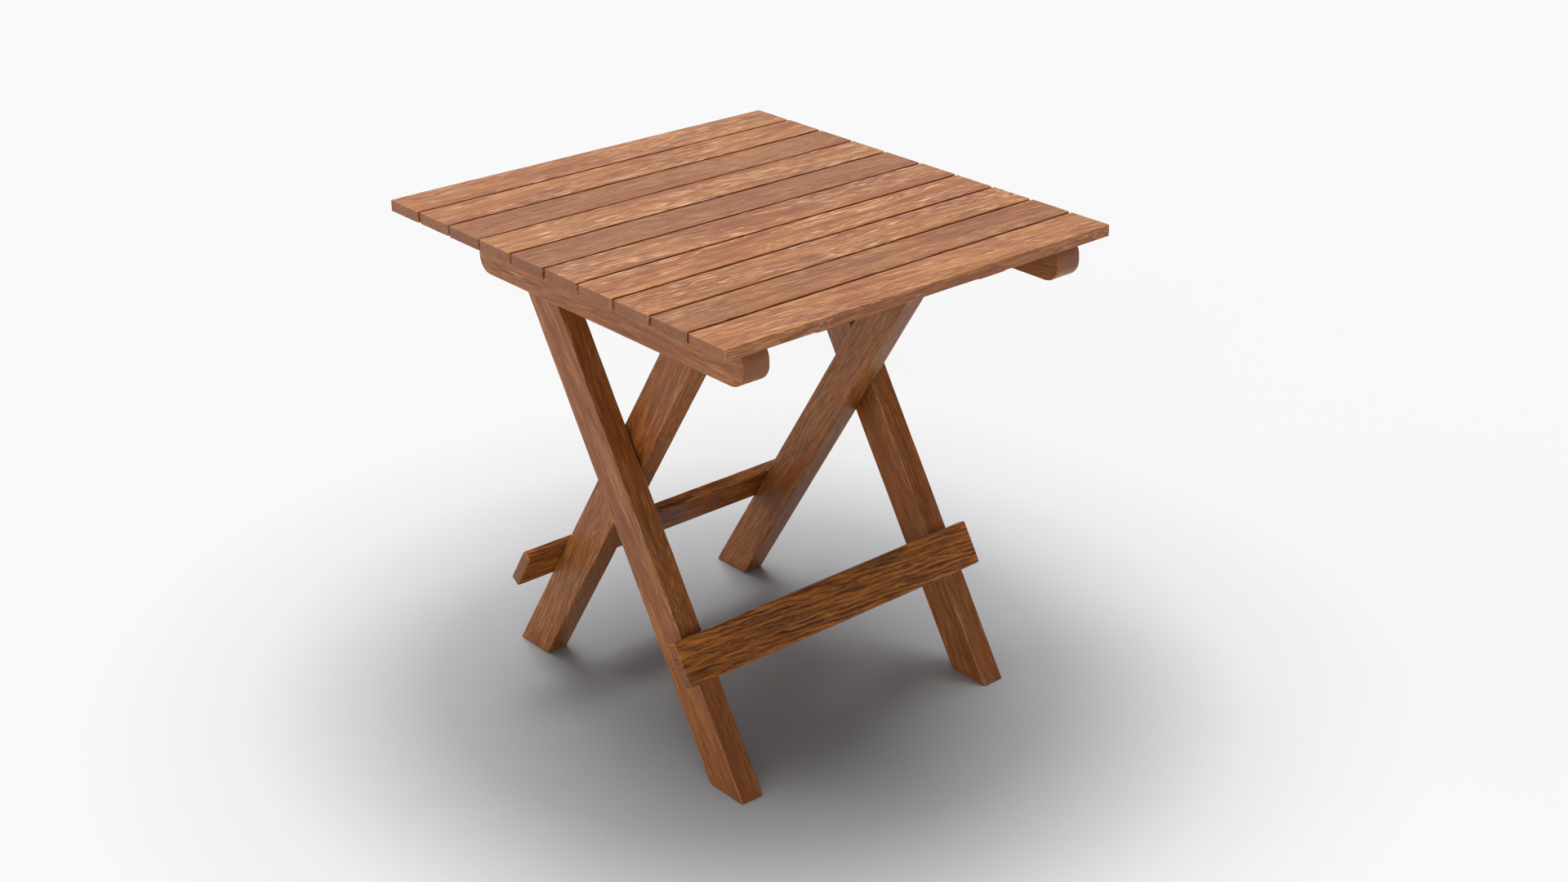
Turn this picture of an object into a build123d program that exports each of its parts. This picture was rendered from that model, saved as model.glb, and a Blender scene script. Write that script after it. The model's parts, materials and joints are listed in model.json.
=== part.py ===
from build123d import *
import math
import os

# Folding slatted table: ten slats on two battens, over two leg frames that cross like scissors.
# The outer leg frame is hinged to the battens near the back edge of the top. The inner leg frame
# is pivoted on the outer one, and its top rail slides under the top's cleats as the legs close.
# Millimetres. +X runs along the slats, +Y across them towards the hinged edge, +Z is up, and the
# origin is on the floor under the middle of the top. "Left" is the -X side, "front" the -Y side.

# Top
table_height = 500.0
slat_count = 10
slat_length = 475.0
slat_width = 48.6
slat_gap = 3.0
slat_thickness = 11.5

# Battens: the thick rails outside the outer legs
batten_thickness = 30.6
batten_height = 38.0
batten_front = -245.5
batten_back = 146.5
batten_corner_radius = 16.5
batten_outer_face = 209.6

# Cleats: the flat rails inside the legs, and the stop blocks below them
cleat_width = 36.0
cleat_thickness = 12.0
cleat_inset = 20.5
cleat_x = 100.0
stop_block_depth = 20.0
stop_block_height = 20.0

# Leg frames
leg_lean = 32.0
leg_width = 41.0
leg_thickness = 26.0
outer_leg_inner_face = 151.6
frame_gap = 1.4
hinge_height = 467.3
hinge_reach = 114.4
stretcher_length = 388.0
stretcher_width = 46.0
stretcher_thickness = 12.0
stretcher_lower_edge = 122.5
top_rail_diameter = 18.0
top_rail_seat = 14.0

# Pins, washers, dowels and screws
pin_diameter = 8.0
pin_seat = 13.0
pin_clearance = 0.05
pin_end_clearance = 0.5
washer_diameter = 18.0
washer_thickness = 1.0
washer_hole_clearance = 0.2
dowel_diameter = 8.0
dowel_in_stretcher = 8.0
dowel_in_leg = 20.0
dowel_spacing = 24.0
screw_shank = 3.5
screw_head = 7.0
screw_head_height = 2.4
screw_tip = 3.0
screw_recess = 0.6
screw_in_slat = 7.5
batten_screw_counterbore = 12.0
batten_screw_end_distance = 22.0
cleat_screw_end_distance = 14.0
stop_screw_in_cleat = 8.0
stop_screw_spacing = 22.0

# Fits and finish
edge_radius = 1.2
slat_edge_radius = 1.0
running_gap = 0.3

# Worked out
top_underside = table_height - slat_thickness
slat_pitch = slat_width + slat_gap
top_width = slat_count * slat_pitch - slat_gap
batten_x = batten_outer_face - batten_thickness / 2
batten_inner_face = batten_outer_face - batten_thickness
outer_leg_outer_face = outer_leg_inner_face + leg_thickness
inner_leg_outer_face = outer_leg_inner_face - frame_gap
inner_leg_inner_face = inner_leg_outer_face - leg_thickness
lean_sin = math.sin(math.radians(leg_lean))
lean_cos = math.cos(math.radians(leg_lean))
cross_height = hinge_height - hinge_reach * lean_cos / lean_sin
cleat_length = top_width - 2 * cleat_inset
cleat_underside = top_underside - cleat_thickness
stop_block_front = -(hinge_reach + top_rail_diameter / 2 + running_gap + stop_block_depth)


def slat_y(index):
    """Middle line of a slat, counted from the front edge."""
    return (index - (slat_count - 1) / 2) * slat_pitch


def left_and_right(solid):
    """A right-hand (+X) solid with its mirror image, as (left, right)."""
    return mirror(solid, Plane.YZ), solid


def x_cylinder(diameter, x_start, x_end, y, z):
    """A round bar or hole along X."""
    axis_plane = Plane(origin=(x_start, y, z), z_dir=(1, 0, 0))
    return extrude(axis_plane * Circle(diameter / 2), x_end - x_start)


def hinge_cylinder(diameter, x_start, x_end):
    """A bar or hole on the axis where the top is hinged to the outer legs."""
    return x_cylinder(diameter, x_start, x_end, hinge_reach, hinge_height)


def cross_cylinder(diameter, x_start, x_end):
    """A bar or hole on the axis where the two leg frames cross."""
    return x_cylinder(diameter, x_start, x_end, 0, cross_height)


def wood_screw(x, y, z, length):
    """A countersunk screw driven upwards, with its head's face at z."""
    shank_top = length - screw_tip
    half = [
        (0, 0),
        (screw_head / 2, 0),
        (screw_shank / 2, screw_head_height),
        (screw_shank / 2, shank_top),
        (0, length),
    ]
    profile = make_face(Plane.XZ * Polyline(*half, close=True))
    return Pos(x, y, z) * revolve(profile, Axis.Z)


def vertical_bore(x, y, z, diameter, depth):
    """A round hole going up from z."""
    return extrude(Plane(origin=(x, y, z)) * Circle(diameter / 2), depth)


def cleat_screw_y(index):
    """Where a cleat's screw meets a slat; the end slats' screws stand in from the cleat's end."""
    limit = cleat_length / 2 - cleat_screw_end_distance
    return max(-limit, min(limit, slat_y(index)))


def batten_slats():
    """The slats that the battens reach, by index."""
    return [i for i in range(slat_count) if slat_y(i) < batten_back]


def batten_screw_y(index):
    """Where a batten's screw meets a slat, clear of the batten's rounded ends."""
    low = batten_front + batten_screw_end_distance
    high = batten_back - batten_screw_end_distance
    return max(low, min(high, slat_y(index)))


def cleat_screw_set():
    """The screws that hold the slats to the two cleats."""
    length = cleat_thickness - screw_recess + screw_in_slat
    head_z = cleat_underside + screw_recess
    return [
        wood_screw(side * cleat_x, cleat_screw_y(i), head_z, length)
        for side in (-1, 1)
        for i in range(slat_count)
    ]


def batten_screw_set():
    """The long screws that hold the slats to the two battens."""
    length = batten_height - batten_screw_counterbore + screw_in_slat
    head_z = top_underside - batten_height + batten_screw_counterbore
    return [
        wood_screw(side * batten_x, batten_screw_y(i), head_z, length)
        for side in (-1, 1)
        for i in batten_slats()
    ]


def stop_screw_set():
    """The screws that hold the stop blocks to the cleats."""
    length = stop_block_height - screw_recess + stop_screw_in_cleat
    head_z = cleat_underside - stop_block_height + screw_recess
    y = stop_block_front + stop_block_depth / 2
    return [
        wood_screw(side * cleat_x + offset, y, head_z, length)
        for side in (-1, 1)
        for offset in (-stop_screw_spacing / 2, stop_screw_spacing / 2)
    ]


def make_slat(index):
    """One slat, eased on every edge, with blind holes for the screws under it."""
    block = Box(slat_length, slat_width, slat_thickness)
    slat = fillet(block.edges(), slat_edge_radius)
    slat = Pos(0, slat_y(index), table_height - slat_thickness / 2) * slat
    for screw in batten_screws + cleat_screws:
        y = screw.center().Y
        if abs(y - slat_y(index)) < slat_width / 2:
            slat -= screw
    return slat


def make_right_batten():
    """The right batten: rounded corners, screw counterbores below, tight hinge pin hole inside."""
    length = batten_back - batten_front
    side_view = Plane.YZ * RectangleRounded(length, batten_height, batten_corner_radius)
    batten = extrude(side_view, batten_thickness)
    batten = fillet(batten.edges(), edge_radius)
    y = (batten_front + batten_back) / 2
    batten = Pos(batten_inner_face, y, top_underside - batten_height / 2) * batten
    underside = top_underside - batten_height
    for i in batten_slats():
        counterbore = vertical_bore(
            batten_x, batten_screw_y(i), underside, screw_head, batten_screw_counterbore
        )
        batten -= counterbore
    for screw in batten_screws:
        if screw.center().X > 0:
            batten -= screw
    return batten - hinge_cylinder(pin_diameter, batten_inner_face, batten_inner_face + pin_seat)


def make_right_cleat():
    """The right cleat: a flat rail under all the slats, which rests on the top rail."""
    cleat = fillet(Box(cleat_width, cleat_length, cleat_thickness).edges(), edge_radius)
    cleat = Pos(cleat_x, 0, top_underside - cleat_thickness / 2) * cleat
    for i in range(slat_count):
        cleat -= vertical_bore(cleat_x, cleat_screw_y(i), cleat_underside, screw_head, screw_recess)
    for screw in cleat_screws + stop_screws:
        if screw.center().X > 0:
            cleat -= screw
    return cleat


def make_right_stop_block():
    """The right stop block, in front of the top rail, which keeps the legs from spreading."""
    block = fillet(Box(cleat_width, stop_block_depth, stop_block_height).edges(), edge_radius)
    y = stop_block_front + stop_block_depth / 2
    block = Pos(cleat_x, y, cleat_underside - stop_block_height / 2) * block
    underside = cleat_underside - stop_block_height
    for screw in stop_screws:
        if screw.center().X > 0:
            block -= vertical_bore(screw.center().X, y, underside, screw_head, screw_recess)
            block -= screw
    return block


def leg_blank(inner_face):
    """A right leg of the outer frame: round upper end on the hinge, foot cut flat on the floor."""
    radius = leg_width / 2
    hinge = Vector(hinge_reach, hinge_height)
    along = Vector(lean_sin, lean_cos)
    across = Vector(lean_cos, -lean_sin)

    def foot(offset):
        """Where the leg's side, at this offset from its middle line, meets the floor."""
        run = (hinge_height - offset * lean_sin) / lean_cos
        return hinge + across * offset - along * run

    outline = Polyline(hinge - across * radius, foot(-radius), foot(radius), hinge + across * radius)
    outline += ThreePointArc(hinge + across * radius, hinge + along * radius, hinge - across * radius)
    leg = extrude(make_face(Plane.YZ * outline), leg_thickness)
    return Pos(inner_face, 0, 0) * fillet(leg.edges(), edge_radius)


def stretcher_plane():
    """The front face of the outer legs, at the stretcher's middle; its normal points forwards."""
    middle = stretcher_lower_edge + stretcher_width / 2
    foot_y = hinge_reach - hinge_height * lean_sin / lean_cos - leg_width / 2 / lean_cos
    origin = (0, foot_y + middle * lean_sin, middle * lean_cos)
    return Plane(origin=origin, x_dir=(1, 0, 0), z_dir=(0, -lean_cos, lean_sin))


def stretcher_dowel_set(leg_middle_x):
    """The glued dowels between the stretcher and one pair of legs, two to a joint."""
    dowel = Cylinder(dowel_diameter / 2, dowel_in_stretcher + dowel_in_leg)
    depth = (dowel_in_stretcher - dowel_in_leg) / 2
    return [
        stretcher_plane() * Pos(side * leg_middle_x, offset, depth) * dowel
        for side in (-1, 1)
        for offset in (-dowel_spacing / 2, dowel_spacing / 2)
    ]


def make_stretcher(dowels):
    """The thin board across the front of the outer legs, drilled for its dowels."""
    board = fillet(Box(stretcher_length, stretcher_width, stretcher_thickness).edges(), edge_radius)
    board = stretcher_plane() * Pos(0, 0, stretcher_thickness / 2) * board
    for dowel in dowels:
        board -= dowel
    return board


def make_right_outer_leg(dowels):
    """The right outer leg: tight cross pin hole inside, running hinge hole outside."""
    leg = leg_blank(outer_leg_inner_face)
    leg -= cross_cylinder(pin_diameter, outer_leg_inner_face, outer_leg_inner_face + pin_seat)
    bore = pin_diameter + 2 * pin_clearance
    leg -= hinge_cylinder(bore, outer_leg_outer_face - pin_seat, outer_leg_outer_face)
    for dowel in dowels:
        leg -= dowel
    return leg


def make_right_inner_leg(dowels):
    """The right inner leg: the same blank turned to lean forwards, drilled for its own pins."""
    leg = leg_blank(inner_leg_inner_face)
    rail_end = inner_leg_inner_face + top_rail_seat
    leg -= hinge_cylinder(top_rail_diameter, inner_leg_inner_face, rail_end)
    bore = pin_diameter + 2 * pin_clearance
    leg -= cross_cylinder(bore, inner_leg_outer_face - pin_seat, inner_leg_outer_face)
    for dowel in dowels:
        leg -= dowel
    return mirror(leg, Plane.XZ)


def make_right_cross_pin():
    """The blind pin, tight in the right outer leg, that turns in the inner leg."""
    start = inner_leg_outer_face - pin_seat + pin_end_clearance
    return cross_cylinder(pin_diameter, start, outer_leg_inner_face + pin_seat)


def make_right_top_pin():
    """The blind pin, tight in the right batten, that turns in the outer leg."""
    start = outer_leg_outer_face - pin_seat + pin_end_clearance
    return hinge_cylinder(pin_diameter, start, batten_inner_face + pin_seat)


def make_washer(make_bar, x_start):
    """A flat spacer washer round one of the pins."""
    x_end = x_start + washer_thickness
    hole = make_bar(pin_diameter + 2 * washer_hole_clearance, x_start, x_end)
    return make_bar(washer_diameter, x_start, x_end) - hole


def make_top_rail():
    """The round rail between the upper ends of the inner legs."""
    end = inner_leg_inner_face + top_rail_seat
    return x_cylinder(top_rail_diameter, -end, end, -hinge_reach, hinge_height)


batten_screws = batten_screw_set()
cleat_screws = cleat_screw_set()
stop_screws = stop_screw_set()
outer_dowels = stretcher_dowel_set(outer_leg_inner_face + leg_thickness / 2)
inner_dowels = stretcher_dowel_set(inner_leg_inner_face + leg_thickness / 2)

parts = {}
for number in range(1, slat_count + 1):
    parts[f"slat_{number:02d}"] = make_slat(number - 1)

right_pieces = {
    "batten": make_right_batten(),
    "cleat": make_right_cleat(),
    "stop_block": make_right_stop_block(),
    "outer_leg": make_right_outer_leg(outer_dowels),
    "inner_leg": make_right_inner_leg(inner_dowels),
    "cross_pin": make_right_cross_pin(),
    "top_pin": make_right_top_pin(),
}
for name, solid in right_pieces.items():
    parts["left_" + name], parts["right_" + name] = left_and_right(solid)

parts["batten_screws"] = Compound(children=batten_screws)
parts["cleat_screws"] = Compound(children=cleat_screws)
parts["stop_block_screws"] = Compound(children=stop_screws)
parts["front_stretcher"] = make_stretcher(outer_dowels)
parts["front_stretcher_dowels"] = Compound(children=outer_dowels)
parts["back_stretcher"] = mirror(make_stretcher(inner_dowels), Plane.XZ)
parts["back_stretcher_dowels"] = mirror(Compound(children=inner_dowels), Plane.XZ)
parts["top_rail"] = make_top_rail()

cross_washer = make_washer(cross_cylinder, outer_leg_inner_face - washer_thickness)
top_washer = make_washer(hinge_cylinder, outer_leg_outer_face)
parts["cross_washers"] = Compound(children=left_and_right(cross_washer))
parts["top_washers"] = Compound(children=left_and_right(top_washer))

os.makedirs("parts", exist_ok=True)
for name, solid in parts.items():
    export_step(solid, f"parts/{name}.step")
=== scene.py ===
"""Folding slatted table in oiled hardwood: its boards, its finishes and its setting.

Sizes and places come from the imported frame. Metres; +X runs along the slats, +Z is up.
"""

import json
import logging
import math
import random
from collections.abc import Callable, Sequence
from dataclasses import dataclass, field
from enum import Enum

import bmesh
import bpy
from mathutils import Matrix, Vector, noise


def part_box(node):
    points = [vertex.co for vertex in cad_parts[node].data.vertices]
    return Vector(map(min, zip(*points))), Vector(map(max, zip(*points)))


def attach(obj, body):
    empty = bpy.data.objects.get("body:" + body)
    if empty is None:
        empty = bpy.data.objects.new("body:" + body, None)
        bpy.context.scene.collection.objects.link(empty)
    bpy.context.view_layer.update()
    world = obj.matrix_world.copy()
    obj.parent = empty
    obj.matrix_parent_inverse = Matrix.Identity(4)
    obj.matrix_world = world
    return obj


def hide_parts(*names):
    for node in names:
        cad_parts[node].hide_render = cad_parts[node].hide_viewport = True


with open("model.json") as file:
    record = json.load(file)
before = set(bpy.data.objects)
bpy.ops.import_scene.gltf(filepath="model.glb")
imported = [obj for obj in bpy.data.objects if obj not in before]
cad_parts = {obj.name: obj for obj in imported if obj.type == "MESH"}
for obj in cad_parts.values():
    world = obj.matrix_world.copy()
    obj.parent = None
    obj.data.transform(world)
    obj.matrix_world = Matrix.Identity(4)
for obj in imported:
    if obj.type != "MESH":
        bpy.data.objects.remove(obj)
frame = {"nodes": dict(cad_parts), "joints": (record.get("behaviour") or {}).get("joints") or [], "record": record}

log = logging.getLogger("folding_table")

MILLIMETRE = 0.001


class Slot(Enum):
    """The record's material slots."""

    SLAT = "slat_wood"
    FRAME = "frame_wood"
    STRETCHER = "stretcher_wood"
    HIDDEN = "hidden_wood"
    DOWEL = "dowel_wood"
    SCREW = "screw_steel"
    PIN = "pin_steel"
    WASHER = "washer_nylon"


class Sawing(Enum):
    """How a board was cut from the log: distance of its middle from the pith and the way it faces.

    The value is (distance in metres, angle in degrees between the board's face and the rings).
    """

    FLAT = (0.045, 0.0)
    RIFT = (0.085, 40.0)
    QUARTER = (0.110, 84.0)


class Sheet:
    """A shader node tree, with short ways to add the nodes that the finishes use."""

    def __init__(self, material: bpy.types.Material) -> None:
        """Empties the material's tree and keeps it.

        Args:
            material: the material to draw.
        """
        material.use_nodes = True
        self.tree = material.node_tree
        self.tree.nodes.clear()

    def add(self, kind: str, **settings: object) -> bpy.types.Node:
        """A new node.

        Args:
            kind: the node's type name without its "ShaderNode" prefix.
            settings: attributes of the node.

        Returns:
            The node.
        """
        node = self.tree.nodes.new("ShaderNode" + kind)
        for name, value in settings.items():
            setattr(node, name, value)
        return node

    def join(self, source: object, target: bpy.types.NodeSocket) -> None:
        """Links an output to an input, or sets the input to a plain value.

        Args:
            source: an output socket, a number or a tuple.
            target: the input socket.
        """
        if isinstance(source, bpy.types.NodeSocket):
            self.tree.links.new(source, target)
        else:
            target.default_value = source

    def attribute(self, name: str, vector: bool = False) -> bpy.types.NodeSocket:
        """The output of a mesh attribute, as a vector or as a number."""
        node = self.add("Attribute", attribute_name=name)
        return node.outputs["Vector" if vector else "Fac"]

    def scaled(self, vector: object, scale: tuple[float, float, float]) -> bpy.types.NodeSocket:
        """A vector multiplied part by part.

        Args:
            vector: the vector's output.
            scale: the three factors.

        Returns:
            The product's output.
        """
        node = self.add("VectorMath", operation="MULTIPLY")
        self.join(vector, node.inputs[0])
        node.inputs[1].default_value = scale
        return node.outputs[0]

    def noise(
        self,
        vector: object,
        scale: tuple[float, float, float],
        detail: float = 2.0,
        roughness: float = 0.5,
        output: str = "Fac",
    ) -> bpy.types.NodeSocket:
        """Noise in stretched coordinates.

        Args:
            vector: the coordinates in metres.
            scale: features per metre along, across and through the board.
            detail: octaves.
            roughness: weight of the finer octaves.
            output: "Fac" or "Color".

        Returns:
            The noise's output.
        """
        node = self.add("TexNoise", noise_dimensions="3D")
        self.join(self.scaled(vector, scale), node.inputs["Vector"])
        node.inputs["Scale"].default_value = 1.0
        node.inputs["Detail"].default_value = detail
        node.inputs["Roughness"].default_value = roughness
        return node.outputs[output]

    def math(self, operation: str, first: object, second: object = 0.0) -> bpy.types.NodeSocket:
        """A maths node's output.

        Args:
            operation: the maths operation's name.
            first: its first value or output.
            second: its second value or output.

        Returns:
            The result's output.
        """
        node = self.add("Math", operation=operation)
        self.join(first, node.inputs[0])
        self.join(second, node.inputs[1])
        return node.outputs[0]

    def scaled_from(self, value: object, factor: float, start: float) -> bpy.types.NodeSocket:
        """A number times a factor, added to a start.

        Args:
            value: the number's output.
            factor: what it is multiplied by.
            start: what is added.

        Returns:
            The result's output.
        """
        node = self.add("Math", operation="MULTIPLY_ADD")
        self.join(value, node.inputs[0])
        node.inputs[1].default_value = factor
        node.inputs[2].default_value = start
        return node.outputs[0]

    def ramp(self, value: object, stops: Sequence[tuple[float, float]]) -> bpy.types.NodeSocket:
        """A number remapped through grey stops.

        Args:
            value: the number's output.
            stops: (position, value) pairs in order.

        Returns:
            The remapped number's output.
        """
        node = self.add("ValToRGB")
        ramp = node.color_ramp
        while len(ramp.elements) < len(stops):
            ramp.elements.new(0.5)
        for element, (position, grey) in zip(ramp.elements, stops):
            element.position = position
            element.color = (grey, grey, grey, 1.0)
        self.join(value, node.inputs[0])
        return node.outputs[0]

    def mix(
        self, factor: object, first: object, second: object, blend: str = "MIX"
    ) -> bpy.types.NodeSocket:
        """Two colours mixed.

        Args:
            factor: the second colour's share.
            first: a colour or its output.
            second: a colour or its output.
            blend: the way of mixing.

        Returns:
            The mixed colour's output.
        """
        node = self.add("Mix", data_type="RGBA", blend_type=blend)
        self.join(factor, node.inputs[0])
        self.join(first, node.inputs[6])
        self.join(second, node.inputs[7])
        return node.outputs[2]

    def finish(self, surface: bpy.types.Node, bump: object = None, depth: float = 0.0) -> None:
        """Ends the tree in its output, with a bump on the surface.

        Args:
            surface: the shader node.
            bump: the height's output, if there is one.
            depth: the bump's depth in metres.
        """
        if bump is not None:
            node = self.add("Bump")
            node.inputs["Strength"].default_value = 1.0
            node.inputs["Distance"].default_value = depth
            self.join(bump, node.inputs["Height"])
            self.join(node.outputs[0], surface.inputs["Normal"])
        output = self.add("OutputMaterial")
        self.join(surface.outputs[0], output.inputs["Surface"])


def rgb(red: float, green: float, blue: float) -> tuple[float, float, float, float]:
    """An opaque colour in linear light."""
    return (red, green, blue, 1.0)


# How many features of each kind there are to the metre along, across and through a board.
RING_WIDTHS = (0.6, 60.0, 60.0)
RING_BREAKS = (9.0, 120.0, 120.0)
FLECKS = (40.0, 800.0, 800.0)
FLECK_PATCHES = (6.0, 75.0, 75.0)
CLOUDS = (5.0, 55.0, 55.0)
FIBRES = (40.0, 900.0, 900.0)

# How much shorter a wander of the grain is across the board than along it.
WANDER_NARROWING = 4.4
# How many rings' widths the rings are uneven by.
RING_UNEVENNESS = 1.6
# How much the flecks gather in late wood.
FLECKS_IN_LATE_WOOD = 0.12
# How far the flecks fade out on end grain.
FLECK_LOSS_ON_ENDS = 0.75

# Shares of one colour in another, where its cause is strongest.
TONE_SHARE = 0.8
END_SHARE = 0.6
# Share of the fleck colour painted on the eased edges as a highlight.
EDGE_HIGHLIGHT_SHARE = 0.45
# Brightness of a board with no tone, and its change up to full tone.
BRIGHTEST = 1.1
TONE_DARKENING = -0.25
# Roughness of the pores above the mean, and its change up to the fibres.
PORE_ROUGHNESS = 0.07
FIBRE_SMOOTHING = -0.14
# Depths of the streaks and the flecks against the height of the fibres.
STREAK_DEPTH = -1.2
FLECK_DEPTH = -0.6
OIL_SPECULAR = 0.55


@dataclass(frozen=True)
class WoodFinish:
    """Oiled hardwood, drawn as a solid log so that faces, edges and ends of a board agree.

    Attributes:
        name: the material's name.
        pale: colour of the lightest wood.
        warm: the redder colour it clouds into.
        deep: colour of the late-wood lines and the dark streaks.
        fleck: colour of the short bright flecks.
        end: colour that the end grain darkens to.
        ring_spacing: distance between growth rings in metres.
        ring_strength: how much darker the late wood is.
        wave: how far the grain wanders, in metres.
        wave_length: length of one wander along the board, in metres.
        streaks: dark streaks per metre along, across and through the board.
        streak_strength: contrast of the dark streaks.
        fibre_strength: contrast of the fine fibres.
        fleck_strength: contrast of the flecks.
        roughness: mean roughness.
        relief: depth of the grain in metres.
    """

    name: str
    pale: tuple[float, float, float, float]
    warm: tuple[float, float, float, float]
    deep: tuple[float, float, float, float]
    fleck: tuple[float, float, float, float]
    end: tuple[float, float, float, float]
    ring_spacing: float = 0.0042
    ring_strength: float = 0.3
    wave: float = 0.010
    wave_length: float = 0.20
    streaks: tuple[float, float, float] = (16.0, 300.0, 300.0)
    streak_strength: float = 0.46
    fibre_strength: float = 0.3
    fleck_strength: float = 0.85
    roughness: float = 0.38
    relief: float = 0.00012

    def wandering(self, sheet: Sheet) -> bpy.types.NodeSocket:
        """The place in the log, with the grain's wander in it.

        Args:
            sheet: the tree to draw in.

        Returns:
            The vector's output, in metres.
        """
        straight = sheet.attribute("grain", vector=True)
        across = WANDER_NARROWING / self.wave_length
        wander = sheet.noise(straight, (1.0 / self.wave_length, across, across), 2.0, 0.5, "Color")
        centred = sheet.add("VectorMath", operation="SUBTRACT")
        sheet.join(wander, centred.inputs[0])
        centred.inputs[1].default_value = (0.5, 0.5, 0.5)
        shift = sheet.scaled(centred.outputs[0], (0.0, 2.0 * self.wave, 2.0 * self.wave))
        moved = sheet.add("VectorMath", operation="ADD")
        sheet.join(straight, moved.inputs[0])
        sheet.join(shift, moved.inputs[1])
        return moved.outputs[0]

    def rings(self, sheet: Sheet, grain: object) -> bpy.types.NodeSocket:
        """The late-wood factor.

        Args:
            sheet: the tree to draw in.
            grain: place in the log, in metres.

        Returns:
            0 in early wood to 1 in the darkest line.
        """
        parts = sheet.add("SeparateXYZ")
        sheet.join(grain, parts.inputs[0])
        square_y = sheet.math("MULTIPLY", parts.outputs[1], parts.outputs[1])
        square_z = sheet.math("MULTIPLY", parts.outputs[2], parts.outputs[2])
        radius = sheet.math("SQRT", sheet.math("ADD", square_y, square_z))
        uneven = sheet.noise(grain, RING_WIDTHS, 1.0)
        count = sheet.math("MULTIPLY", radius, 1.0 / self.ring_spacing)
        count = sheet.math("ADD", count, sheet.math("MULTIPLY", uneven, RING_UNEVENNESS))
        year = sheet.math("FRACT", count)
        line = sheet.ramp(year, ((0.0, 0.05), (0.45, 0.2), (0.85, 1.0), (1.0, 0.05)))
        broken = sheet.ramp(sheet.noise(grain, RING_BREAKS), ((0.38, 0.35), (0.58, 1.0)))
        return sheet.math("MULTIPLY", line, broken)

    def flecks(self, sheet: Sheet, grain: object, late: object) -> bpy.types.NodeSocket:
        """Short bright flecks, gathered in patches that follow the rings.

        Args:
            sheet: the tree to draw in.
            grain: place in the log, in metres.
            late: the late-wood factor.

        Returns:
            0 in plain wood to 1 in a fleck.
        """
        fleck = sheet.ramp(sheet.noise(grain, FLECKS, 1.0), ((0.54, 0.0), (0.63, 1.0)))
        patch = sheet.noise(grain, FLECK_PATCHES)
        patch = sheet.math("ADD", patch, sheet.math("MULTIPLY", late, FLECKS_IN_LATE_WOOD))
        patch = sheet.ramp(patch, ((0.42, 0.05), (0.58, 1.0)))
        patch = sheet.math("MULTIPLY", patch, sheet.attribute("figure"))
        lost = sheet.math("MULTIPLY", sheet.attribute("end_grain"), FLECK_LOSS_ON_ENDS)
        lengthwise = sheet.math("SUBTRACT", 1.0, lost)
        return sheet.math("MULTIPLY", fleck, sheet.math("MULTIPLY", patch, lengthwise))

    def build(self) -> bpy.types.Material:
        """Draws the material.

        Returns:
            The new material.
        """
        material = bpy.data.materials.new(self.name)
        sheet = Sheet(material)
        grain = self.wandering(sheet)
        late = self.rings(sheet, grain)
        fleck = self.flecks(sheet, grain, late)
        clouds = sheet.ramp(sheet.noise(grain, CLOUDS, 3.0, 0.55), ((0.42, 0.0), (0.58, 1.0)))
        streak = sheet.ramp(sheet.noise(grain, self.streaks, 3.0, 0.62), ((0.41, 1.0), (0.55, 0.0)))
        fibre = sheet.ramp(sheet.noise(grain, FIBRES, 2.0, 0.6), ((0.40, 0.0), (0.60, 1.0)))

        tone = sheet.attribute("tone")
        colour = sheet.mix(clouds, self.pale, self.warm)
        colour = sheet.mix(sheet.math("MULTIPLY", tone, TONE_SHARE), colour, self.warm)
        colour = sheet.mix(sheet.math("MULTIPLY", late, self.ring_strength), colour, self.deep)
        colour = sheet.mix(sheet.math("MULTIPLY", streak, self.streak_strength), colour, self.deep)
        dark_fibre = sheet.math("SUBTRACT", 1.0, fibre)
        colour = sheet.mix(sheet.math("MULTIPLY", dark_fibre, self.fibre_strength), colour, self.deep)
        colour = sheet.mix(sheet.math("MULTIPLY", fleck, self.fleck_strength), colour, self.fleck)
        ends = sheet.attribute("end_grain")
        colour = sheet.mix(sheet.math("MULTIPLY", ends, END_SHARE), colour, self.end)
        # Painted highlight: the eased edges are lightened towards the fleck colour, following the fibres.
        edge_highlight = sheet.math("MULTIPLY", sheet.attribute("edge"), fibre)
        colour = sheet.mix(sheet.math("MULTIPLY", edge_highlight, EDGE_HIGHLIGHT_SHARE), colour, self.fleck)
        brightness = sheet.scaled_from(tone, TONE_DARKENING, BRIGHTEST)
        shade = sheet.add("CombineXYZ")
        for part in shade.inputs:
            sheet.join(brightness, part)
        colour = sheet.mix(1.0, colour, shade.outputs[0], "MULTIPLY")

        surface = sheet.add("BsdfPrincipled")
        sheet.join(colour, surface.inputs["Base Color"])
        gloss = sheet.scaled_from(fibre, FIBRE_SMOOTHING, self.roughness + PORE_ROUGHNESS)
        sheet.join(gloss, surface.inputs["Roughness"])
        surface.inputs["Specular IOR Level"].default_value = OIL_SPECULAR
        height = sheet.math("ADD", fibre, sheet.math("MULTIPLY", streak, STREAK_DEPTH))
        height = sheet.math("ADD", height, sheet.math("MULTIPLY", fleck, FLECK_DEPTH))
        sheet.finish(surface, height, self.relief)
        return material


# Roughness of the smoothest spots below the mean, what machining marks add to it, and their depth.
SMOOTH_SPOTS = 0.1
MARK_ROUGHNESS = 0.25
MARK_DEPTH = 0.03 * MILLIMETRE


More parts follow.
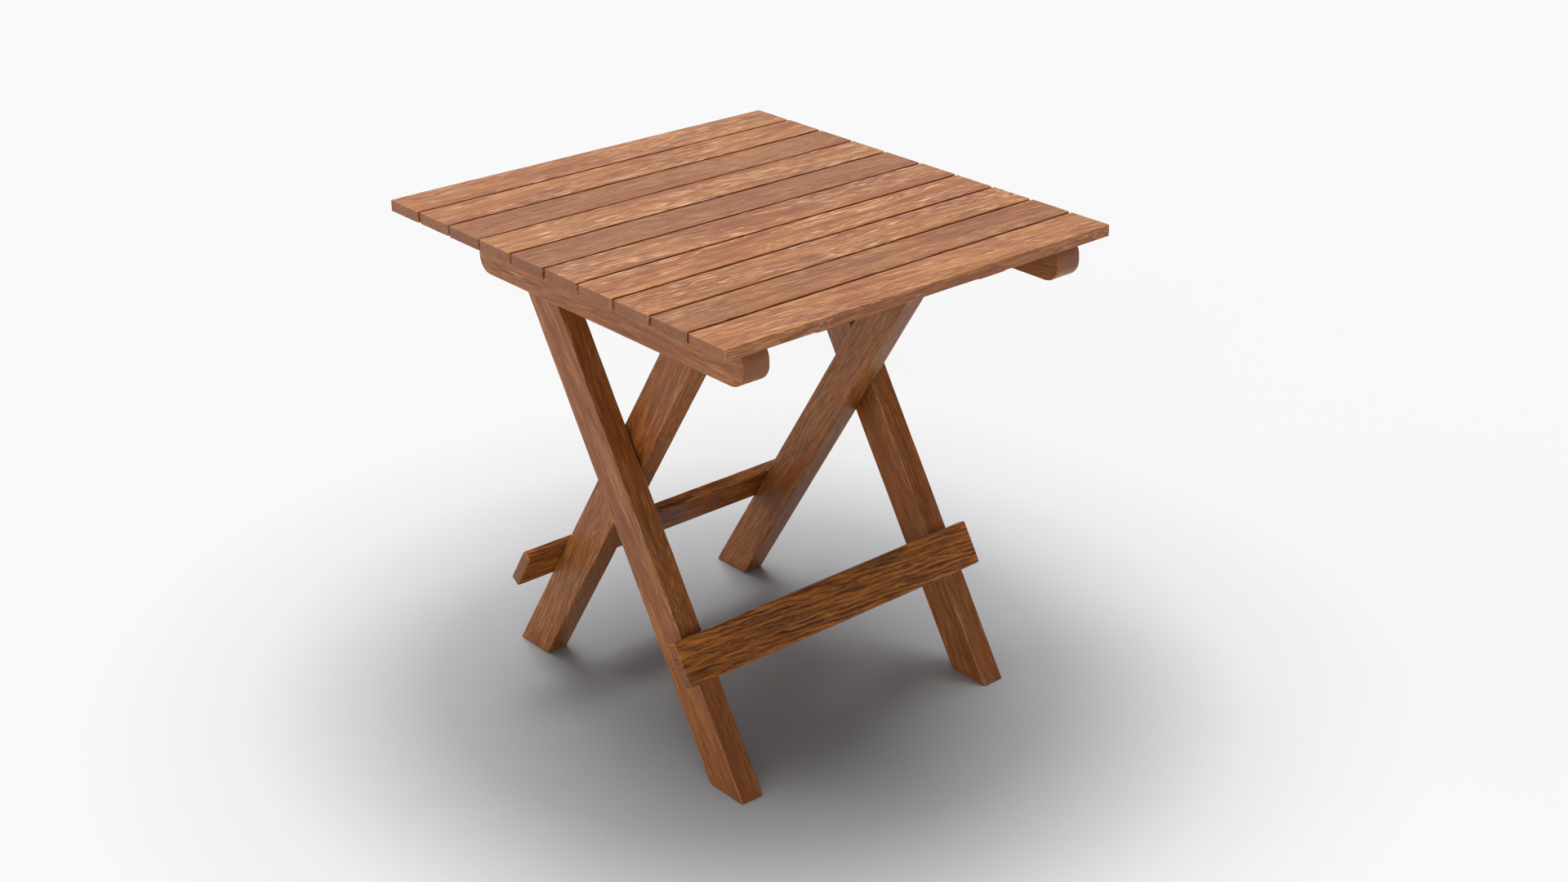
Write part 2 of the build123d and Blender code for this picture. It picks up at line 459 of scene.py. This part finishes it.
@dataclass(frozen=True)
class SmoothFinish:
    """Metal or plastic with fine machining marks and a little soiling.

    Attributes:
        name: the material's name.
        clean: colour where it is clean.
        soiled: colour in the dull patches.
        metallic: 1 for metal.
        roughness: mean roughness.
        marks: marks per metre.
    """

    name: str
    clean: tuple[float, float, float, float]
    soiled: tuple[float, float, float, float]
    metallic: float
    roughness: float
    marks: float

    def build(self) -> bpy.types.Material:
        """Draws the material.

        Returns:
            The new material.
        """
        material = bpy.data.materials.new(self.name)
        sheet = Sheet(material)
        place = sheet.add("TexCoord").outputs["Object"]
        turned = sheet.noise(place, (self.marks, self.marks * 0.1, self.marks * 0.1), 3.0)
        dull = sheet.ramp(sheet.noise(place, (180.0, 180.0, 180.0), 4.0), ((0.4, 0.0), (0.7, 1.0)))
        surface = sheet.add("BsdfPrincipled")
        sheet.join(sheet.mix(dull, self.clean, self.soiled), surface.inputs["Base Color"])
        surface.inputs["Metallic"].default_value = self.metallic
        rough = sheet.scaled_from(turned, MARK_ROUGHNESS, self.roughness - SMOOTH_SPOTS)
        sheet.join(rough, surface.inputs["Roughness"])
        sheet.finish(surface, turned, MARK_DEPTH)
        return material


@dataclass(frozen=True)
class FloorFinish:
    """Plain pale paint on the studio floor, with a painted shadow: the paint is darker in the middle, under the
    table.

    Attributes:
        name: the material's name.
        colour: the paint's colour.
        painted_shadow: its colour in the middle, under the table, a painted shadow.
        shadow_fade: (distance from the middle in metres, share of the painted shadow's colour) pairs.
        roughness: mean roughness.
        specular: how much the paint shines.
    """

    name: str
    colour: tuple[float, float, float, float]
    painted_shadow: tuple[float, float, float, float]
    shadow_fade: tuple[tuple[float, float], ...] = ((0.0, 1.0), (0.32, 0.85), (0.52, 0.2), (0.70, 0.0))
    roughness: float = 0.9
    specular: float = 0.1

    def build(self) -> bpy.types.Material:
        """Draws the material.

        Returns:
            The new material.
        """
        material = bpy.data.materials.new(self.name)
        sheet = Sheet(material)
        away = sheet.add("VectorMath", operation="LENGTH")
        sheet.join(sheet.add("TexCoord").outputs["Object"], away.inputs[0])
        # Painted shadow: the floor's colour darkens towards the middle, under the table.
        shadow_share = sheet.ramp(away.outputs["Value"], self.shadow_fade)
        surface = sheet.add("BsdfPrincipled")
        sheet.join(sheet.mix(shadow_share, self.colour, self.painted_shadow), surface.inputs["Base Color"])
        surface.inputs["Roughness"].default_value = self.roughness
        surface.inputs["Specular IOR Level"].default_value = self.specular
        sheet.finish(surface)
        return material


class Finishes:
    """Every finish on the table, built once and handed out by slot."""

    def __init__(self) -> None:
        """Builds the materials."""
        wood = {
            Slot.SLAT: WoodFinish(
                "oiled_slat",
                pale=rgb(0.49, 0.208, 0.052),
                warm=rgb(0.35, 0.112, 0.027),
                deep=rgb(0.12, 0.027, 0.004),
                fleck=rgb(0.70, 0.43, 0.24),
                end=rgb(0.20, 0.064, 0.020),
            ),
            Slot.FRAME: WoodFinish(
                "oiled_frame",
                pale=rgb(0.42, 0.147, 0.022),
                warm=rgb(0.31, 0.093, 0.011),
                deep=rgb(0.085, 0.018, 0.002),
                fleck=rgb(0.54, 0.28, 0.11),
                end=rgb(0.24, 0.085, 0.028),
                streaks=(18.0, 420.0, 420.0),
                fibre_strength=0.35,
                streak_strength=0.43,
                fleck_strength=0.7,
            ),
            Slot.STRETCHER: WoodFinish(
                "figured_stretcher",
                pale=rgb(0.64, 0.230, 0.026),
                warm=rgb(0.52, 0.165, 0.014),
                deep=rgb(0.060, 0.012, 0.002),
                fleck=rgb(0.66, 0.32, 0.10),
                end=rgb(0.14, 0.045, 0.014),
                ring_spacing=0.0044,
                ring_strength=0.95,
                wave=0.0034,
                wave_length=0.040,
                streaks=(19.0, 400.0, 400.0),
                streak_strength=0.70,
                fleck_strength=0.3,
            ),
            Slot.HIDDEN: WoodFinish(
                "oiled_cleat",
                pale=rgb(0.34, 0.130, 0.042),
                warm=rgb(0.26, 0.088, 0.026),
                deep=rgb(0.11, 0.030, 0.008),
                fleck=rgb(0.50, 0.26, 0.11),
                end=rgb(0.15, 0.050, 0.017),
                roughness=0.5,
            ),
        }
        smooth = {
            Slot.SCREW: SmoothFinish(
                "zinc_screw", rgb(0.58, 0.56, 0.50), rgb(0.34, 0.31, 0.26), 1.0, 0.38, 900.0
            ),
            Slot.PIN: SmoothFinish(
                "ground_pin", rgb(0.60, 0.60, 0.60), rgb(0.40, 0.39, 0.37), 1.0, 0.28, 1500.0
            ),
            Slot.WASHER: SmoothFinish(
                "natural_nylon", rgb(0.78, 0.76, 0.70), rgb(0.62, 0.58, 0.50), 0.0, 0.45, 600.0
            ),
            Slot.DOWEL: SmoothFinish(
                "raw_dowel", rgb(0.52, 0.33, 0.17), rgb(0.38, 0.22, 0.10), 0.0, 0.7, 700.0
            ),
        }
        self.materials = {slot: finish.build() for slot, finish in (wood | smooth).items()}

    def of(self, slot: Slot) -> bpy.types.Material:
        """The material of a slot."""
        return self.materials[slot]


def extent(node: str, direction: Vector) -> tuple[float, float]:
    """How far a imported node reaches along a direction.

    Args:
        node: the node's name.
        direction: a unit vector.

    Returns:
        Its lowest and highest position along the direction.
    """
    along = [vertex.co.dot(direction) for vertex in frame["nodes"][node].data.vertices]
    return min(along), max(along)


def joint_place(name: str) -> Vector:
    """Where a joint's axis passes, from the frame's joints."""
    return Vector(next(j["pos_m"] for j in frame["joints"] if j["name"] == name))


def arc(centre: Vector, radius: float, start: float, end: float, steps: int) -> list[Vector]:
    """Points on a circular arc.

    Args:
        centre: the arc's centre.
        radius: its radius.
        start: its first angle in degrees.
        end: its last angle in degrees.
        steps: the number of straight steps.

    Returns:
        The points, both ends included.
    """
    turns = [math.radians(start + (end - start) * k / steps) for k in range(steps + 1)]
    return [centre + radius * Vector((math.cos(t), math.sin(t))) for t in turns]


# Edges sharper than this are eased, in this many steps.
SHARP_EDGE = math.radians(30.0)
EASING_STEPS = 3
# Size of a mesh cell across a board and through it.
CELL_ACROSS = 6.0 * MILLIMETRE
# Planing ripples to the metre along a board, and across and through it, and how high they are.
RIPPLES_ALONG = 9.0
RIPPLES_ACROSS = 45.0
RIPPLE_HEIGHT = 0.07 * MILLIMETRE
# Depth of the deepest knocks on the eased edges, and how many there are to a ripple.
KNOCK_DEPTH = 0.35 * MILLIMETRE
KNOCKS_TO_A_RIPPLE = 4.0
# Distance between the ripple patterns of two boards with neighbouring seeds.
SEED_STEP = 7.3


@dataclass
class Board:
    """One planed board: a flat outline with thickness, eased edges and its own place in a log.

    Local x runs along the grain, y across the face and z through the thickness.

    Attributes:
        name: the piece's name.
        node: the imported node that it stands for.
        body: the body that it rides on.
        slot: its finish.
        along: direction of local x.
        across: direction of local y.
        sawing: how it was cut from the log.
        tone: 0 for a pale board to 1 for a dark one.
        figure: how strongly it is flecked, from 0 to 1.
        edge: radius of its eased edges.
        cell: size of the mesh's cells along the board.
        seed: number that sets its own irregularities.
        drift: small shift along the board.
        cup: rise of the face's edges from cupping, in metres.
        shape: draws its outline, if that is not a plain rectangle.
        low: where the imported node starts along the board's own axes.
        high: where it ends.
    """

    name: str
    node: str
    body: str
    slot: Slot
    along: Vector
    across: Vector
    sawing: Sawing = Sawing.FLAT
    tone: float = 0.3
    figure: float = 0.6
    edge: float = 1.5 * MILLIMETRE
    cell: float = 8.0 * MILLIMETRE
    seed: int = 0
    drift: float = 0.0
    cup: float = 0.0
    shape: Callable[["Board"], list[Vector]] | None = None
    low: Vector = field(init=False)
    high: Vector = field(init=False)

    def __post_init__(self) -> None:
        """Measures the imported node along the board's own axes."""
        self.through = self.along.cross(self.across)
        ranges = [extent(self.node, axis) for axis in (self.along, self.across, self.through)]
        self.low = Vector([r[0] for r in ranges])
        self.high = Vector([r[1] for r in ranges])
        self.size = self.high - self.low
        self.chance = random.Random(self.seed)

    def outline(self) -> list[Vector]:
        """The board's outline about its middle, counter-clockwise.

        Returns:
            Points in local x and y.
        """
        if self.shape is not None:
            return self.shape(self)
        return rounded_rectangle(self.size.x, self.size.y, 1.4 * self.edge)

    def block(self) -> bmesh.types.BMesh:
        """The plain board: its outline pulled through the thickness, with eased edges.

        Returns:
            The mesh, centred on the board's middle.
        """
        mesh = bmesh.new()
        points = self.outline()
        half = self.size.z / 2
        lower = [mesh.verts.new((p.x, p.y, -half)) for p in points]
        upper = [mesh.verts.new((p.x, p.y, half)) for p in points]
        mesh.faces.new(reversed(lower))
        mesh.faces.new(upper)
        for i, start in enumerate(lower):
            j = (i + 1) % len(lower)
            mesh.faces.new((start, lower[j], upper[j], upper[i]))
        mesh.normal_update()
        rims = [e for e in mesh.edges if e.calc_face_angle(0.0) > SHARP_EDGE]
        bmesh.ops.bevel(
            mesh,
            geom=rims,
            offset=self.edge,
            segments=EASING_STEPS,
            profile=0.5,
            affect="EDGES",
            clamp_overlap=True,
        )
        return mesh

    def divide(self, mesh: bmesh.types.BMesh) -> None:
        """Cuts the flat faces into cells, so that the wood can be uneven.

        Args:
            mesh: the board's mesh, changed in place.
        """
        cells = Vector((self.cell, CELL_ACROSS, CELL_ACROSS))
        for axis in range(3):
            count = max(2, round(self.size[axis] / cells[axis]))
            normal = Vector((0.0, 0.0, 0.0))
            normal[axis] = 1.0
            for k in range(1, count):
                place = normal * (self.size[axis] * (k / count - 0.5))
                geometry = mesh.verts[:] + mesh.edges[:] + mesh.faces[:]
                bmesh.ops.bisect_plane(mesh, geom=geometry, plane_co=place, plane_no=normal, dist=1e-6)

    def weather(self, mesh: bmesh.types.BMesh) -> dict[str, list[float]]:
        """Gives the faces their unevenness, and works out each point's place in the log.

        Args:
            mesh: the board's mesh, changed in place.

        Returns:
            The values of the mesh attributes.
        """
        mesh.normal_update()
        distance, angle = self.sawing.value
        turn = math.radians(angle + self.chance.uniform(-9.0, 9.0))
        off_centre = self.chance.uniform(-0.35, 0.35) * self.size.y
        start = Vector((self.chance.uniform(0.0, 40.0), 0.0, 0.0))
        slope_y = self.chance.uniform(-0.07, 0.07)
        slope_z = self.chance.uniform(-0.03, 0.03)
        distance *= self.chance.uniform(0.8, 1.25)
        names = ("grain", "tone", "figure", "end_grain", "edge")
        values: dict[str, list[float]] = {name: [] for name in names}
        for vertex in mesh.verts:
            p, n = vertex.co.copy(), vertex.normal.copy()
            y = p.y + off_centre + slope_y * p.x
            z = p.z + slope_z * p.x
            turned_y = y * math.cos(turn) - z * math.sin(turn)
            turned_z = y * math.sin(turn) + z * math.cos(turn) + distance
            values["grain"] += [start.x + p.x, turned_y, turned_z]
            values["tone"].append(self.tone)
            values["figure"].append(self.figure)
            values["end_grain"].append(max(0.0, (abs(n.x) - 0.5) / 0.5))
            rounded = 1.0 - max(abs(n.x), abs(n.y), abs(n.z))
            # The edge attribute sets where the shader paints a highlight on the eased edges.
            values["edge"].append(min(1.0, rounded / 0.25))
            ripple = Vector((
                p.x * RIPPLES_ALONG + self.seed * SEED_STEP,
                p.y * RIPPLES_ACROSS,
                p.z * RIPPLES_ACROSS,
            ))
            planed = noise.noise(ripple) * RIPPLE_HEIGHT
            knocked = max(0.0, noise.noise(ripple * KNOCKS_TO_A_RIPPLE) + 0.15)
            knocked *= min(1.0, rounded / 0.2)
            vertex.co += n * (planed - knocked * KNOCK_DEPTH)
            vertex.co.z += self.cup * (2.0 * p.y / self.size.y) ** 2
        return values

    def make(self, finishes: Finishes) -> bpy.types.Object:
        """Builds the board, puts it in its place and dresses it.

        Args:
            finishes: the finishes to take the wood from.

        Returns:
            The new piece.
        """
        mesh = self.block()
        self.divide(mesh)
        values = self.weather(mesh)
        middle = (self.low + self.high) / 2
        turn = Matrix((self.along, self.across, self.through)).transposed()
        place = turn @ middle + self.along * self.drift
        mesh.transform(Matrix.Translation(place) @ turn.to_4x4())
        data = bpy.data.meshes.new(self.name)
        for face in mesh.faces:
            face.smooth = True
        mesh.to_mesh(data)
        mesh.free()
        for key, numbers in values.items():
            kind, target = ("FLOAT_VECTOR", "vector") if key == "grain" else ("FLOAT", "value")
            data.attributes.new(key, kind, "POINT").data.foreach_set(target, numbers)
        piece = bpy.data.objects.new(self.name, data)
        bpy.context.scene.collection.objects.link(piece)
        evened = piece.modifiers.new("even_shading", "WEIGHTED_NORMAL")
        evened.weight = 80
        data.materials.append(finishes.of(self.slot))
        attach(piece, self.body)
        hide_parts(self.node)
        log.info("%s: %d faces on %s", self.name, len(data.polygons), self.body)
        return piece


def rounded_rectangle(length: float, width: float, radius: float, steps: int = 3) -> list[Vector]:
    """The outline of a rectangle with rounded corners.

    Args:
        length: its size along x.
        width: its size along y.
        radius: its corners' radius.
        steps: straight steps in each corner.

    Returns:
        Its points, counter-clockwise.
    """
    x, y = length / 2 - radius, width / 2 - radius
    corners = ((x, y, 0.0), (-x, y, 90.0), (-x, -y, 180.0), (x, -y, 270.0))
    points: list[Vector] = []
    for corner_x, corner_y, start in corners:
        points += arc(Vector((corner_x, corner_y)), radius, start, start + 90.0, steps)
    return points


X_AXIS = Vector((1.0, 0.0, 0.0))
Y_AXIS = Vector((0.0, 1.0, 0.0))
Z_AXIS = Vector((0.0, 0.0, 1.0))
SIDES = ("left", "right")


@dataclass
class SlattedTop:
    """The top: slats over two battens, with the flat cleats and stop blocks below them.

    Attributes:
        body: the body that it rides on.
        slat_edge: radius of the slats' eased edges.
        corner_radius: radius of the battens' end corners.
        tones: how dark each slat is, from the front edge to the back.
        figures: how strongly each slat is flecked, in the same order.
        sawings: how each slat was cut, from the front edge to the back.
    """

    body: str = "tabletop"
    slat_edge: float = 1.1 * MILLIMETRE
    corner_radius: float = 16.5 * MILLIMETRE
    tones: tuple[float, ...] = (0.1, 0.7, 0.35, 0.2, 0.45, 0.75, 0.3, 0.7, 0.25, 0.3)
    figures: tuple[float, ...] = (0.6, 0.55, 0.9, 1.0, 0.9, 0.35, 1.0, 0.4, 0.8, 0.7)
    sawings: tuple[Sawing, ...] = (
        Sawing.FLAT,
        Sawing.RIFT,
        Sawing.FLAT,
        Sawing.QUARTER,
        Sawing.RIFT,
        Sawing.FLAT,
        Sawing.QUARTER,
        Sawing.FLAT,
        Sawing.RIFT,
        Sawing.FLAT,
    )

    def slats(self, finishes: Finishes) -> None:
        """Makes the slats.

        Args:
            finishes: the finishes to take the wood from.
        """
        chance = random.Random(11)
        looks = zip(self.tones, self.figures, self.sawings)
        for number, (tone, figure, sawing) in enumerate(looks, start=1):
            node = f"slat_{number:02d}"
            Board(
                name="top_" + node,
                node=node,
                body=self.body,
                slot=Slot.SLAT,
                along=X_AXIS,
                across=Y_AXIS,
                sawing=sawing,
                tone=tone,
                figure=figure,
                edge=self.slat_edge,
                seed=100 + number,
                drift=chance.uniform(-0.5, 0.5) * MILLIMETRE,
                cup=chance.uniform(-0.12, 0.1) * MILLIMETRE,
            ).make(finishes)

    def batten_outline(self, board: Board) -> list[Vector]:
        """A batten's side view, with its rounded corners."""
        return rounded_rectangle(board.size.x, board.size.y, self.corner_radius, 10)

    def rails(self, finishes: Finishes) -> None:
        """Makes the battens, cleats and stop blocks.

        Args:
            finishes: the finishes to take the wood from.
        """
        for index, side in enumerate(SIDES):
            Board(
                name=side + "_top_batten",
                node=side + "_batten",
                body=self.body,
                slot=Slot.FRAME,
                along=Y_AXIS,
                across=Z_AXIS,
                sawing=Sawing.RIFT,
                tone=0.2 + 0.2 * index,
                seed=21 + index,
                shape=self.batten_outline,
            ).make(finishes)
            Board(
                name=side + "_top_cleat",
                node=side + "_cleat",
                body=self.body,
                slot=Slot.HIDDEN,
                along=Y_AXIS,
                across=-X_AXIS,
                seed=31 + index,
            ).make(finishes)
            Board(
                name=side + "_leg_stop",
                node=side + "_stop_block",
                body=self.body,
                slot=Slot.HIDDEN,
                along=X_AXIS,
                across=Y_AXIS,
                sawing=Sawing.QUARTER,
                seed=41 + index,
            ).make(finishes)

    def build(self, finishes: Finishes) -> None:
        """Makes the whole top."""
        self.slats(finishes)
        self.rails(finishes)


@dataclass
class LegFrame:
    """A pair of legs with the stretcher across them.

    Attributes:
        body: the body that it rides on, and the start of its pieces' names.
        leg: the middle part of its legs' names.
        stretcher: its stretcher's node.
        top: the place of its legs' rounded upper ends.
        seed: number that sets its boards' irregularities.
    """

    body: str
    leg: str
    stretcher: str
    top: Vector
    seed: int

    def __post_init__(self) -> None:
        """Works out the lean from the upper ends and the place where the frames cross."""
        self.along = (self.top - joint_place("leg_fold")).normalized()
        self.across = X_AXIS.cross(self.along)

    def leg_outline(self, board: Board) -> list[Vector]:
        """A leg's side view: a round upper end, and a foot cut level with the floor.

        Args:
            board: the leg's board.

        Returns:
            The outline about the board's middle.
        """
        middle = Vector(((board.low.x + board.high.x) / 2, (board.low.y + board.high.y) / 2))
        radius = board.size.y / 2
        centre = Vector((board.high.x - middle.x - radius, 0.0))
        points = arc(centre, radius, -90.0, 90.0, 24)
        for y in (radius, -radius):
            x = -(middle.y + y) * self.across.z / self.along.z - middle.x
            points.append(Vector((x, y)))
        return points

    def build(self, finishes: Finishes) -> None:
        """Makes the legs and the stretcher.

        Args:
            finishes: the finishes to take the wood from.
        """
        for index, side in enumerate(SIDES):
            Board(
                name=f"{side}_{self.leg}_board",
                node=f"{side}_{self.leg}",
                body=self.body,
                slot=Slot.FRAME,
                along=self.along,
                across=self.across,
                sawing=Sawing.RIFT,
                tone=0.3 + 0.15 * index,
                seed=self.seed + index,
                shape=self.leg_outline,
            ).make(finishes)
        Board(
            name=self.stretcher + "_board",
            node=self.stretcher,
            body=self.body,
            slot=Slot.STRETCHER,
            along=X_AXIS,
            across=self.along,
            sawing=Sawing.QUARTER,
            tone=0.25,
            seed=self.seed + 7,
        ).make(finishes)


# Bumps to the metre along the turned rail.
BUMPS_ALONG = 60.0


@dataclass
class TopRail:
    """The round rail between the inner legs, on which the top rests.

    Attributes:
        body: the body that it rides on.
        node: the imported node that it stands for.
        sides: flats round the rail.
        rings: cells along the rail.
        wobble: how far the turned surface is off, in metres.
        finish_cut: what the turner takes off the radius, in metres.
        pith: distances from the middle of the log to the rail's middle, along Y and Z.
        tone: 0 for pale wood to 1 for dark.
    """

    body: str = "inner_frame"
    node: str = "top_rail"
    sides: int = 40
    rings: int = 60
    wobble: float = 0.04 * MILLIMETRE
    finish_cut: float = 0.05 * MILLIMETRE
    pith: tuple[float, float] = (0.03, 0.02)
    tone: float = 0.4

    def build(self, finishes: Finishes) -> None:
        """Turns the rail.

        Args:
            finishes: the finishes to take the wood from.
        """
        low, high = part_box(self.node)
        middle, radius = (low + high) / 2, (high.z - low.z) / 2
        mesh = bmesh.new()
        grain: list[float] = []
        loops = []
        for k in range(self.rings + 1):
            x = low.x + (high.x - low.x) * k / self.rings
            loop = []
            for i in range(self.sides):
                turn = 2.0 * math.pi * i / self.sides
                bumps = noise.noise(Vector((x * BUMPS_ALONG, math.cos(turn), math.sin(turn))))
                reach = radius - self.finish_cut + self.wobble * bumps
                y, z = reach * math.cos(turn), reach * math.sin(turn)
                loop.append(mesh.verts.new((x, middle.y + y, middle.z + z)))
                grain += [x, y + self.pith[0], z + self.pith[1]]
            loops.append(loop)
        for first, second in zip(loops, loops[1:]):
            for i in range(self.sides):
                j = (i + 1) % self.sides
                mesh.faces.new((first[i], first[j], second[j], second[i])).smooth = True
        mesh.faces.new(loops[0])
        mesh.faces.new(reversed(loops[-1]))
        bmesh.ops.recalc_face_normals(mesh, faces=mesh.faces)
        data = bpy.data.meshes.new("round_top_rail")
        mesh.to_mesh(data)
        mesh.free()
        data.attributes.new("grain", "FLOAT_VECTOR", "POINT").data.foreach_set("vector", grain)
        tones = [self.tone] * len(data.vertices)
        data.attributes.new("tone", "FLOAT", "POINT").data.foreach_set("value", tones)
        piece = bpy.data.objects.new("round_top_rail", data)
        bpy.context.scene.collection.objects.link(piece)
        data.materials.append(finishes.of(Slot.HIDDEN))
        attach(piece, self.body)
        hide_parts(self.node)
        log.info("round_top_rail: %d faces on %s", len(data.polygons), self.body)


@dataclass
class Hardware:
    """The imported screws, pins, washers and dowels, which keep their shape and get a finish."""

    def build(self, finishes: Finishes) -> None:
        """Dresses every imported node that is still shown.

        Args:
            finishes: the finishes to take the metal, nylon and raw wood from.
        """
        slots = {part["node"]: Slot(part["material_slot"]) for part in frame["record"]["subparts"]}
        for name, node in frame["nodes"].items():
            if not node.hide_render:
                for place in node.material_slots:
                    place.material = finishes.of(slots[name])
                log.info("%s: %s", name, slots[name].value)


@dataclass(frozen=True)
class Lamp:
    """A wide, even light.

    Attributes:
        name: the light's name.
        towards: direction from the table to the light.
        strength: its strength.
        spread: its angle across in degrees.
        tint: its colour.
    """

    name: str
    towards: tuple[float, float, float]
    strength: float
    spread: float
    tint: tuple[float, float, float]

    def hang(self) -> None:
        """Puts the light in the scene."""
        light = bpy.data.lights.new(self.name, "SUN")
        light.energy = self.strength
        light.angle = math.radians(self.spread)
        light.color = self.tint
        holder = bpy.data.objects.new(self.name, light)
        bpy.context.scene.collection.objects.link(holder)
        holder.rotation_euler = Vector(self.towards).to_track_quat("Z", "Y").to_euler()


LAMPS = (
    Lamp("overhead_light", (0.08, 0.19, 1.0), 3.86, 48.0, (1.0, 0.997, 0.994)),
    Lamp("front_fill", (-0.80, -0.60, 0.05), 1.6, 70.0, (1.0, 0.99, 0.98)),
    Lamp("side_light", (-0.85, 0.50, 0.16), 1.15, 60.0, (0.90, 0.945, 1.0)),
)


@dataclass
class Studio:
    """The floor, the light and the camera.

    Attributes:
        floor_size: side of the square floor in metres.
        aim: the point that the camera looks at.
        away: direction from the aim to the camera.
        distance: how far off the camera stands.
        lens: focal length in millimetres.
        film: width of the camera's film in millimetres.
        wall: direction from the table to the middle of the bright wall.
        surroundings: colour of the surroundings.
        dim: strength of the surroundings away from the glow and the wall.
        horizon_glow: strength of the glow at the horizon.
        glow_top: height at which the glow ends, as the sine of its angle.
        wall_light: strength of the wall in its middle.
        wall_edge: where the wall starts and where it is full, as cosines from its middle.
        gamma: the picture's gamma.
    """

    floor_size: float = 60.0
    aim: Vector = field(default_factory=lambda: Vector((0.0, -0.058, 0.277)))
    away: Vector = field(default_factory=lambda: Vector((-0.5974, -0.6839, 0.4187)))
    distance: float = 2.17
    lens: float = 50.4
    film: float = 36.0
    wall: Vector = field(default_factory=lambda: Vector((0.60, 0.68, 0.42)))
    surroundings: tuple[float, float, float, float] = rgb(0.985, 0.99, 1.0)
    dim: float = 0.03
    horizon_glow: float = 0.97
    glow_top: float = 0.36
    wall_light: float = 0.62
    wall_edge: tuple[float, float] = (0.72, 0.95)
    gamma: float = 0.9

    def floor(self) -> None:
        """Lays the floor."""
        half = self.floor_size / 2
        data = bpy.data.meshes.new("studio_floor")
        corners = [(-half, -half, 0.0), (half, -half, 0.0), (half, half, 0.0), (-half, half, 0.0)]
        data.from_pydata(corners, [], [(0, 1, 2, 3)])
        floor = bpy.data.objects.new("studio_floor", data)
        bpy.context.scene.collection.objects.link(floor)
        # The darker second colour is a painted shadow under the table.
        paint = FloorFinish(
            "pale_floor", colour=rgb(0.64, 0.64, 0.64), painted_shadow=rgb(0.365, 0.373, 0.384)
        )
        data.materials.append(paint.build())

    def sky(self) -> None:
        """Draws the surroundings: a pale glow round the horizon and a bright wall behind the table."""
        world = bpy.data.worlds.new("soft_studio")
        bpy.context.scene.world = world
        world.use_nodes = True
        tree = world.node_tree
        tree.nodes.clear()
        place = tree.nodes.new("ShaderNodeTexCoord")
        facing = tree.nodes.new("ShaderNodeVectorMath")
        facing.operation = "DOT_PRODUCT"
        facing.inputs[1].default_value = self.wall.normalized()
        tree.links.new(place.outputs["Generated"], facing.inputs[0])
        height = tree.nodes.new("ShaderNodeSeparateXYZ")
        tree.links.new(place.outputs["Generated"], height.inputs[0])
        glow = self.fade(tree, height.outputs["Z"], (0.0, self.glow_top), (self.horizon_glow, self.dim))
        wall = self.fade(tree, facing.outputs["Value"], self.wall_edge, (self.dim, self.wall_light))
        brighter = tree.nodes.new("ShaderNodeMath")
        brighter.operation = "MAXIMUM"
        tree.links.new(glow, brighter.inputs[0])
        tree.links.new(wall, brighter.inputs[1])
        background = tree.nodes.new("ShaderNodeBackground")
        background.inputs["Color"].default_value = self.surroundings
        tree.links.new(brighter.outputs[0], background.inputs["Strength"])
        output = tree.nodes.new("ShaderNodeOutputWorld")
        tree.links.new(background.outputs[0], output.inputs["Surface"])

    def fade(
        self,
        tree: bpy.types.NodeTree,
        value: bpy.types.NodeSocket,
        span: tuple[float, float],
        strengths: tuple[float, float],
    ) -> bpy.types.NodeSocket:
        """A smooth change of strength over a span of a value.

        Args:
            tree: the tree to draw in.
            value: the value's output.
            span: where the change starts and ends.
            strengths: the strengths there.

        Returns:
            The strength's output.
        """
        node = tree.nodes.new("ShaderNodeMapRange")
        node.interpolation_type = "SMOOTHSTEP"
        tree.links.new(value, node.inputs["Value"])
        for name, number in zip(("From Min", "From Max", "To Min", "To Max"), span + strengths):
            node.inputs[name].default_value = number
        return node.outputs[0]

    def camera(self) -> None:
        """Stands the camera in front of the table, a little above it."""
        data = bpy.data.cameras.new("camera")
        data.lens = self.lens
        data.sensor_width = self.film
        holder = bpy.data.objects.new("camera", data)
        bpy.context.scene.collection.objects.link(holder)
        away = self.away.normalized()
        holder.location = self.aim + away * self.distance
        holder.rotation_euler = away.to_track_quat("Z", "Y").to_euler()
        bpy.context.scene.camera = holder

    def build(self) -> None:
        """Sets the whole stage."""
        self.floor()
        self.sky()
        for lamp in LAMPS:
            lamp.hang()
        self.camera()
        bpy.context.scene.view_settings.view_transform = "Standard"
        bpy.context.scene.view_settings.gamma = self.gamma


def main() -> None:
    """Builds the table in its setting."""
    logging.basicConfig(level=logging.INFO, format="%(name)s: %(message)s")
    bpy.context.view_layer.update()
    finishes = Finishes()
    hinge = joint_place("top_fold")
    SlattedTop().build(finishes)
    LegFrame("outer_frame", "outer_leg", "front_stretcher", hinge, 51).build(finishes)
    rail_low, rail_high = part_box("top_rail")
    rest = Vector((0.0, (rail_low.y + rail_high.y) / 2, hinge.z))
    LegFrame("inner_frame", "inner_leg", "back_stretcher", rest, 71).build(finishes)
    TopRail().build(finishes)
    Hardware().build(finishes)
    Studio().build()


if __name__ == "__main__":
    main()
